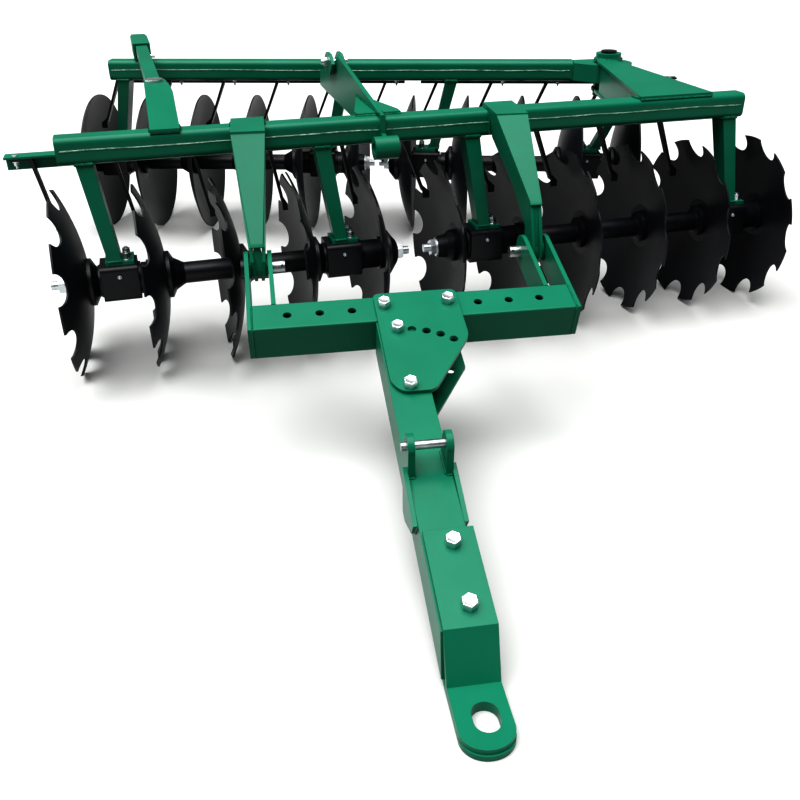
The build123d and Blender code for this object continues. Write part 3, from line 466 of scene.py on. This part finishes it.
class HARROW_OT_beam_seams(bpy.types.Operator):
    """Lays the wandering seams that close each beam out of its two halves"""

    bl_idname = "harrow.beam_seams"
    bl_label = "Lay the beam seams"

    def execute(self, context):
        p = context.scene.harrow_sizes
        hand = random.Random(7)
        for name, row in ROWS.items():
            end = row.last - SEAM_INSET
            runs = []
            for side in (-1, 1):
                x, y, points = row.first + SEAM_INSET, row.beam_y + side * SEAM_OUT, []
                while x < end:
                    points.append((x, y, SEAM_Z + hand.uniform(-1.8, 1.8)))
                    x += hand.uniform(60, 110)
                points.append((end, y, SEAM_Z))
                runs.append((name, p.seam_width, path(points)))
            # The seams take the pale streaked enamel: a painted highlight along the top of each
            # bead.
            finish(lay_beads(f"Beam_seams_{name}", f"{name}_frame", runs, p.ripple),
                   "seam_highlight_enamel")
        return {"FINISHED"}


class HARROW_OT_leg_welds(bpy.types.Operator):
    """Lays the beads round the hangers, at the beams and on the foot plates"""

    bl_idname = "harrow.leg_welds"
    bl_label = "Weld the hangers"

    def execute(self, context):
        p = context.scene.harrow_sizes
        for name, row in ROWS.items():
            runs = []
            for x in row.bearings:
                runs.append((name, p.weld_width, frame_round(
                    x + row.foot_lean, row.foot_y, FOOT_TOP, 20, 29)))
                # The last rear leg stands past the beam's end.
                if name == "front" or x < row.last:
                    runs.append((name, p.weld_width * 1.4, frame_round(
                        x + row.beam_lean, row.beam_y, BEAM_LOW + 2, 24, 35)))
            if name == "rear":
                runs.append((name, p.weld_width, frame_round(2231, -58, 638, 15, 29)))
            lay_beads(f"Hanger_welds_{name}", f"{name}_frame", runs, p.ripple)
        return {"FINISHED"}


class HARROW_OT_frame_welds(bpy.types.Operator):
    """Lays the beads of the brackets, arms, tabs and pivot plates"""

    bl_idname = "harrow.frame_welds"
    bl_label = "Weld the brackets and arms"

    def execute(self, context):
        p = context.scene.harrow_sizes
        wide = p.weld_width
        runs = []
        # The hitch brackets on the beam
        for x in BRACKETS:
            middle = x * math.tan(FRONT_TURN) + 27.16
            near, far = middle - 44.6, middle + 39.2
            for s in (-1, 1):
                edge = x + s * SADDLE_HALF
                runs.append(("machine", wide, [
                    ((edge, middle - 26 + s * 5, 713), (edge, middle + 26 + s * 5, 713)),
                    ((x + s * 43, near, 642), (x + s * 45, near, 704))]))
            runs.append(("machine", wide * 1.5, [
                ((x - SADDLE_HALF, far - 6, 708), (x + SADDLE_HALF, far + 4, 708))]))
        # The centre arm and its gussets
        for x in (983, 997):
            runs.append(("front", wide, [
                ((x, -4, 720.5), (x, 308, 720.5)), ((x, 66.5, 668), (x, 66.5, 704)),
                ((x, -12.5, 606), (x, -12.5, 700))]))
        for inner, outer in ((983, 921), (997, 1059)):
            runs.append(("front", wide * 0.8, path([
                (inner, 27, 713), (outer, 27, 713), (outer, 60, 713)])))
        # The angle arm and the pivot bracket on the beam, and the pivot's tube
        runs.append(("front", wide, [
            ((308, -2, 714), (308, 58, 714)), ((392, -2, 714), (392, 58, 714)),
            ((308, -8, 710), (392, -8, 710)), ((1860, 4, 714), (1860, 56, 714)),
            ((2124.5, 4, 714), (2124.5, 56, 714)), ((1862, -5, 711), (2123, -5, 711))]))
        for z in (722, 610, 600):
            runs.append(("front", wide, ring_round(2120.5, 736.7, z, 51)))
        # The scraper tabs
        for x in FRONT_TABS:
            for edge in (x - 4, x + 4):
                runs.append(("front", wide * 0.6, [
                    ((edge, 94, 646.5), (edge, 140, 646.5)),
                    ((edge, 66, 650), (edge, 66, 688))]))
        lay_beads("Bracket_welds", "front_frame", runs, p.ripple)
        runs = [("rear", wide, [((2009, -70, 706), (2009, -6, 706)),
                                ((2009, -78, 644), (2009, -78, 702))])]
        for x in REAR_TABS:
            runs.append(("rear", wide * 0.7, [
                ((x - 30, -30, 633.5), (x - 30, -2, 633.5)),
                ((x + 30, -30, 633.5), (x + 30, -2, 633.5)),
                ((x - 28, 14, 634), (x + 28, 14, 634))]))
        lay_beads("Rear_welds", "rear_frame", runs, p.ripple)
        return {"FINISHED"}


class HARROW_OT_hitch_welds(bpy.types.Operator):
    """Lays the beads of the clevis arms and of the drawbar's ears"""

    bl_idname = "harrow.hitch_welds"
    bl_label = "Weld the hitch"

    def execute(self, context):
        p = context.scene.harrow_sizes
        wide = p.weld_width
        paths = []
        for x in (12, 856):
            paths += [((x, 0, -90), (x, 0, -4)), ((x, 4, 0), (x, 94, 0))]
        for x in (64, 76, 792, 804, 12, 856):
            paths.append(((x, 98, -93), (x, 98, -3)))
        runs = [("hitch", wide * 0.7, paths)]
        for face, inner in ((322, 337), (420, 405)):
            outer = face + (inner - face) * 0.1
            runs.append(("hitch", wide * 0.8, [
                ((inner, -454, 0.5), (inner, -520, 0.5)),
                ((outer, -452, 0.5), (inner, -452, 0.5)),
                ((outer, -522, 0.5), (inner, -522, 0.5))] + path([
                    (face, -501, 8), (face, -530, -96), (face, -560, -96), (face, -631, -44),
                    (face, -644, -5)])))
        lay_beads("Hitch_welds", "hitch", runs, p.ripple)
        return {"FINISHED"}


class HARROW_OT_foot_bolts(bpy.types.Operator):
    """Bolts the hangers down on the bearing blocks, and adds a grease nipple to each block"""

    bl_idname = "harrow.foot_bolts"
    bl_label = "Bolt the bearings"

    def execute(self, context):
        p = context.scene.harrow_sizes
        fixing = nut(p.foot_bolt, p.thread_pitch, 2, 0.7)
        nipple = joined([drum(6, 6.5, -3, 5, 0.8), drum(12, 3.6, 5, 12, 1.6)])
        for name, row in ROWS.items():
            body = f"{name}_frame"
            spread(fixing, f"Foot_nuts_{name}", body, "bright_zinc", [
                (name, (x + row.bolt_lean, y, FOOT_TOP), (0, 0, 1))
                for x in row.bearings for y in (-20, 20)])
            spread(nipple, f"Grease_nipples_{name}", body, "bright_zinc", [
                (name, (x, -56, AXLE_Z + 28), (0, -1, 0)) for x in row.bearings])
        clear(fixing, nipple)
        return {"FINISHED"}


class HARROW_OT_scraper_bolts(bpy.types.Operator):
    """Bolts each scraper under its bar"""

    bl_idname = "harrow.scraper_bolts"
    bl_label = "Bolt the scrapers"

    def execute(self, context):
        p = context.scene.harrow_sizes
        head = joined([drum(24, p.scraper_bolt * 0.75, 0, 4, 2.4)])
        fixing = nut(p.scraper_bolt, p.thread_pitch, 3)
        for name, row in ROWS.items():
            places = [rim + gang.bend - gang.way * SCRAPER_BOLT for gang, rim in rims(name)]
            for master, kind, z, up in (
                    (head, "bolts", row.bar_top, 1), (fixing, "nuts", row.scraper_under, -1)):
                spread(master, f"Scraper_{kind}_{name}", f"{name}_frame", "bright_zinc", [
                    (name, (x, row.scraper_y, z), (0, 0, up)) for x in places])
        clear(head, fixing)
        return {"FINISHED"}


class HARROW_OT_ground_blades(bpy.types.Operator):
    """Narrows each scraper's blade to a slanted tip, because no wide blade is seen"""

    bl_idname = "harrow.ground_blades"
    bl_label = "Grind the scraper blades"

    def execute(self, context):
        for name in ROWS:
            node, lines = f"scrapers_{name}", LINES[name]
            blades = merged_copy(node)
            ends = [(rim + gang.way * BLADE_REACH, rim + gang.foot) for gang, rim in rims(name)]
            for corner in blades.data.vertices:
                at = lines.inverted() @ corner.co
                tip, foot = min(ends, key=lambda end: abs(end[0] - at.x))
                if abs(at.x - tip) < 0.6 and BLADE_LOW - 1 < at.z < BLADE_TOP + 1:
                    at.x = foot + (tip - foot) * BLADE_KEPT
                    if at.z > BLADE_TOP - 1:
                        at.z -= (BLADE_TOP - BLADE_LOW) / 2
                    corner.co = lines @ at
            seat(blades, f"Ground_{node}", f"{name}_frame", "black_paint", (node,))
        return {"FINISHED"}


class HARROW_OT_hitch_bolts(bpy.types.Operator):
    """Bolts the clamp plates and the drawbar's straps"""

    bl_idname = "harrow.hitch_bolts"
    bl_label = "Bolt the drawbar"

    def execute(self, context):
        p = context.scene.harrow_sizes
        head = bolt_head(p.hitch_bolt, 0.5, 1.0)
        fixing = nut(p.hitch_bolt, p.thread_pitch, 4, 0.5, 1.0)
        flush = bolt_head(p.hitch_bolt, 0.5, 1.0, 0.42)
        for name, slot_nodes, spots, top, low in (
                ("Clamp", ("clamp_bolts",), ((351, 49), (517, 49), (371, -48), (371, -250)),
                 10, -108),
                ("Strap", (), ((382, -704), (385, -847)), 12, -110)):
            heads = [("hitch", (x, y, top), (0, 0, 1)) for x, y in spots]
            nuts = [("hitch", (x, y, low), (0, 0, -1)) for x, y in spots]
            spread(head, f"{name}_bolt_heads", "hitch", "bright_zinc", heads, slot_nodes)
            # The strap's nuts lie close over the floor, so their bolts end flush.
            spread(fixing if slot_nodes else flush, f"{name}_bolt_nuts", "hitch", "bright_zinc",
                   nuts, slot_nodes)
        clear(head, fixing, flush)
        return {"FINISHED"}


class HARROW_OT_gang_threads(bpy.types.Operator):
    """Cuts the threads on the gang shafts' ends and lays a washer under each nut"""

    bl_idname = "harrow.gang_threads"
    bl_label = "Thread the gang shafts"

    def execute(self, context):
        pitch = context.scene.harrow_sizes.thread_pitch
        thread = ripples(13.5, 0.93, pitch, 7, 20, 22)
        thread = joined([thread, drum(28, 30, 0, 4, 1.0)])
        for name, gang in GANGS.items():
            # The gang's hollow end, and its round end past the last disc
            length = PITCH * (gang.discs - 1)
            hollow = gang.first if gang.way > 0 else gang.first + length
            ends = [(hollow + gang.way * HOLLOW_END, -gang.way),
                    (hollow + gang.way * (DISC_DEPTH + length + ROUND_BELL), gang.way)]
            spread(thread, f"Threads_{name}", f"gang_{name}", "bright_zinc", [
                (gang.row, (x, 0, AXLE_Z), (out, 0, 0)) for x, out in ends])
        clear(thread)
        return {"FINISHED"}


class HARROW_OT_drilled_pins(bpy.types.Operator):
    """Drills the hole for a split pin through each cross pin's end"""

    bl_idname = "harrow.drilled_pins"
    bl_label = "Drill the pins"

    def execute(self, context):
        facing = Matrix.Rotation(math.radians(50), 4, "X")
        for node, radius, spots in (
                ("hitch_pins", 4.0, ((103, 324.5, -49), (766, 324.5, -49))),
                ("ear_pin", 3.0, ((316, -482, 60),))):
            pins = merged_copy(node)
            drills = []
            for spot in spots:
                drill = drum(20, radius, -40, 40)
                drill.matrix_world = HITCH @ Matrix.Translation(spot) @ facing
                drills.append(drill)
            tool = joined(drills)
            cut = pins.modifiers.new("Holes", "BOOLEAN")
            cut.operation = "DIFFERENCE"
            cut.object = tool
            alone(pins)
            bpy.ops.object.modifier_apply(modifier=cut.name)
            clear(tool)
            seat(pins, f"Drilled_{node}", "hitch", "pin_steel", (node,))
            # No bright head is seen on the hitch pins, so what stands outside is black.
            pins.data.materials.append(FINISHES["black_castings"])
            for face in pins.data.polygons:
                across = (HITCH.inverted() @ face.center).x
                if across < 0 or across > CROSS_LENGTH:
                    face.material_index = 1
        return {"FINISHED"}


class HARROW_OT_bracket_webs(bpy.types.Operator):
    """Closes each hitch bracket between its side plates, from the face plate to the boss"""

    bl_idname = "harrow.bracket_webs"
    bl_label = "Close the hitch brackets"

    def execute(self, context):
        webs = []
        # Middle, and (place along, height, half width) at the face plate and at the boss
        for x, (top_y, top_z, top_half), (low_y, low_z, low_half) in (
                (BRACKETS[0], (-279, 464, 9), (-287, 404, FACE_HALF)),
                (BRACKETS[1], (-250, 532, 9), (-283, 410, FACE_HALF))):
            bpy.ops.object.select_all(action="DESELECT")
            bpy.ops.mesh.primitive_plane_add(size=1)
            web = bpy.context.object
            bpy.ops.object.mode_set(mode="EDIT")
            mesh = bmesh.from_edit_mesh(web.data)
            for corner in mesh.verts:
                s, up = math.copysign(1, corner.co.x), corner.co.y > 0
                y, z, half = (top_y, top_z, top_half) if up else (low_y, low_z, low_half)
                corner.co = (x + s * half, y, z)
            bmesh.update_edit_mesh(web.data)
            bpy.ops.mesh.subdivide(number_cuts=4)
            bpy.ops.object.mode_set(mode="OBJECT")
            wall = web.modifiers.new("Wall", "SOLIDIFY")
            wall.thickness = 6
            wall.offset = 0
            bpy.ops.object.modifier_apply(modifier=wall.name)
            web.matrix_world = MACHINE
            webs.append(web)
        seat(joined(webs), "Hitch_bracket_webs", "front_frame", "green_paint")
        return {"FINISHED"}


class HARROW_OT_rounded_plates(bpy.types.Operator):
    """Rounds the hitch plates' corners, which the frame model cuts in straight runs"""

    bl_idname = "harrow.rounded_plates"
    bl_label = "Round the hitch plates"

    def execute(self, context):
        up, through = Vector((0, 0, 1)), HITCH.to_3x3().col[2].normalized()
        for node, axis, sharp, reach, radius, segments in (
                ("hitch_strap_top", up, 0.2, 0.045, 0.011, 4),
                ("hitch_strap_bottom", up, 0.2, 0.045, 0.011, 4),
                ("clamp_plate_top", through, 0.4, 1.0, 0.016, 5)):
            plate = merged_copy(node)
            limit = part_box(node)[0].y + reach
            bpy.ops.object.mode_set(mode="EDIT")
            pick(lambda edge: (
                edge.calc_length() > 0.008
                and abs((edge.verts[0].co - edge.verts[1].co).normalized().dot(axis)) > 0.99
                and max(v.co.y for v in edge.verts) < limit
                and edge.calc_face_angle(0) > sharp), edges=True)
            bpy.ops.mesh.bevel(offset=radius, segments=segments, affect="EDGES")
            bpy.ops.object.mode_set(mode="OBJECT")
            seat(plate, "Rounded_" + node.removeprefix("hitch_"), "hitch", "green_paint",
                 (node,), 30)
        return {"FINISHED"}


class HARROW_OT_folded_bracket(bpy.types.Operator):
    """Folds the right hitch bracket's sides in behind the lower end of its face plate"""

    bl_idname = "harrow.folded_bracket"
    bl_label = "Fold the right hitch bracket"

    def execute(self, context):
        lean = (SADDLE_HALF - FACE_HALF) / (BEAM_TOP - HITCH_PIN_Z)
        bracket = merged_copy("hitch_bracket_right")
        bpy.ops.object.mode_set(mode="EDIT")
        bpy.ops.mesh.select_all(action="SELECT")
        bpy.ops.mesh.bisect(plane_co=(0, 0, FACE_END / 1000), plane_no=(0, 0, 1))
        mesh = bmesh.from_edit_mesh(bracket.data)
        for corner in mesh.verts:
            at = MACHINE.inverted() @ corner.co
            out = at.x - BRACKETS[1]
            plain = SADDLE_HALF - lean * (BEAM_TOP - at.z)
            drop = min(1.0, (BEAM_TOP - at.z) / (BEAM_TOP - FACE_END))
            folded = SADDLE_HALF - (SADDLE_HALF - FACE_HALF + 1) * drop
            on_side = min(abs(abs(out) - plain), abs(abs(out) - plain + SIDE_THICK)) < 0.7
            if on_side and at.z < BEAM_TOP - 1 and plain > folded:
                at.x -= math.copysign(plain - folded, out)
                corner.co = MACHINE @ at
        bmesh.update_edit_mesh(bracket.data)
        bpy.ops.object.mode_set(mode="OBJECT")
        seat(bracket, "Folded_bracket_right", "front_frame", "green_paint",
             ("hitch_bracket_right",), 30)
        return {"FINISHED"}


def lay_floor(p):
    bpy.ops.object.select_all(action="DESELECT")
    bpy.ops.mesh.primitive_plane_add(size=p.floor_side, location=(0, 0, -0.0005))
    floor = bpy.context.object
    floor.name = "Studio_floor"
    paper = bpy.data.materials.new("Matt_paper_floor")
    paper.use_nodes = True
    shader = paper.node_tree.nodes["Principled BSDF"]
    shader.inputs["Base Color"].default_value = linear(p.floor_colour)
    shader.inputs["Roughness"].default_value = 0.9
    shader.inputs["Specular IOR Level"].default_value = 0.1
    floor.data.materials.append(paper)
    # The floor throws no light back up, which keeps upright faces dark.
    floor.visible_diffuse = False


def hang_light(p):
    bpy.ops.object.light_add(type="SUN", location=Vector(p.key_from) * 3)
    lamp = bpy.context.object
    lamp.name = "Key_light"
    lamp.data.energy = p.key_power
    lamp.data.angle = p.key_spread
    lamp.rotation_euler = Vector(p.key_from).to_track_quat("Z", "Y").to_euler()


def surround(scene, p):
    """A faint light from all round; the camera sees it as pale past the floor's edge."""
    world = bpy.data.worlds.new("Soft_surround")
    scene.world = world
    world.use_nodes = True
    tree = world.node_tree
    back = tree.nodes["Background"]
    back.inputs["Color"].default_value = (0.92, 1.0, 0.96, 1.0)
    back.inputs["Strength"].default_value = p.sky
    pale = add_node(tree, "ShaderNodeBackground", _Strength=1.0)
    seen = add_node(tree, "ShaderNodeLightPath").outputs["Is Camera Ray"]
    mix = add_node(tree, "ShaderNodeMixShader", {"Fac": seen})
    tree.links.new(back.outputs["Background"], mix.inputs[1])
    tree.links.new(pale.outputs["Background"], mix.inputs[2])
    tree.links.new(mix.outputs["Shader"], tree.nodes["World Output"].inputs["Surface"])
    scene.view_settings.view_transform = "Standard"
    scene.view_settings.look = "High Contrast"


def set_camera(scene, p):
    bpy.ops.object.camera_add(location=p.eye)
    camera = bpy.context.object
    ahead = Vector((-math.sin(p.yaw) * math.cos(p.pitch), math.cos(p.yaw) * math.cos(p.pitch),
                    -math.sin(p.pitch)))
    right = Vector((math.cos(p.yaw), math.sin(p.yaw), 0))
    turned = Matrix((right, -ahead.cross(right), -ahead)).transposed()
    camera.rotation_euler = (turned @ Matrix.Rotation(-p.roll, 3, "Z")).to_euler()
    camera.data.lens = p.lens
    camera.data.sensor_width = 36.0
    camera.data.clip_end = 200.0
    scene.camera = camera


class HARROW_OT_stage(bpy.types.Operator):
    """Lays the pale floor, hangs the soft lights and sets the camera"""

    bl_idname = "harrow.stage"
    bl_label = "Set the studio"

    def execute(self, context):
        p = context.scene.harrow_studio
        lay_floor(p)
        hang_light(p)
        surround(context.scene, p)
        set_camera(context.scene, p)
        return {"FINISHED"}


class HARROW_PT_panel(bpy.types.Panel):
    """Lists the steps and sizes of the harrow's dressing"""

    bl_idname = "HARROW_PT_panel"
    bl_label = "Disc harrow"
    bl_space_type = "VIEW_3D"
    bl_region_type = "UI"
    bl_category = "Harrow"

    def draw(self, context):
        for group in (context.scene.harrow_sizes, context.scene.harrow_finishes,
                      context.scene.harrow_studio):
            box = self.layout.box()
            for key in group.__annotations__:
                box.prop(group, key)
        for step in STEPS:
            self.layout.operator(step.bl_idname)


GROUPS = (("harrow_sizes", HarrowSizes), ("harrow_finishes", HarrowFinishes),
          ("harrow_studio", HarrowStudio))
STEPS = (
    HARROW_OT_finish_frame, HARROW_OT_rounded_plates, HARROW_OT_folded_bracket,
    HARROW_OT_beam_seams, HARROW_OT_leg_welds, HARROW_OT_frame_welds, HARROW_OT_hitch_welds,
    HARROW_OT_foot_bolts, HARROW_OT_scraper_bolts, HARROW_OT_ground_blades,
    HARROW_OT_hitch_bolts, HARROW_OT_gang_threads, HARROW_OT_drilled_pins,
    HARROW_OT_bracket_webs, HARROW_OT_stage,
)


def register():
    for name, group in GROUPS:
        bpy.utils.register_class(group)
        setattr(bpy.types.Scene, name, PointerProperty(type=group))
    for step in STEPS + (HARROW_PT_panel,):
        bpy.utils.register_class(step)


def unregister():
    for step in STEPS + (HARROW_PT_panel,):
        bpy.utils.unregister_class(step)
    for name, group in GROUPS:
        delattr(bpy.types.Scene, name)
        bpy.utils.unregister_class(group)


def main():
    register()
    for step in STEPS:
        family, name = step.bl_idname.split(".")
        getattr(getattr(bpy.ops, family), name)()


if __name__ == "__main__":
    main()
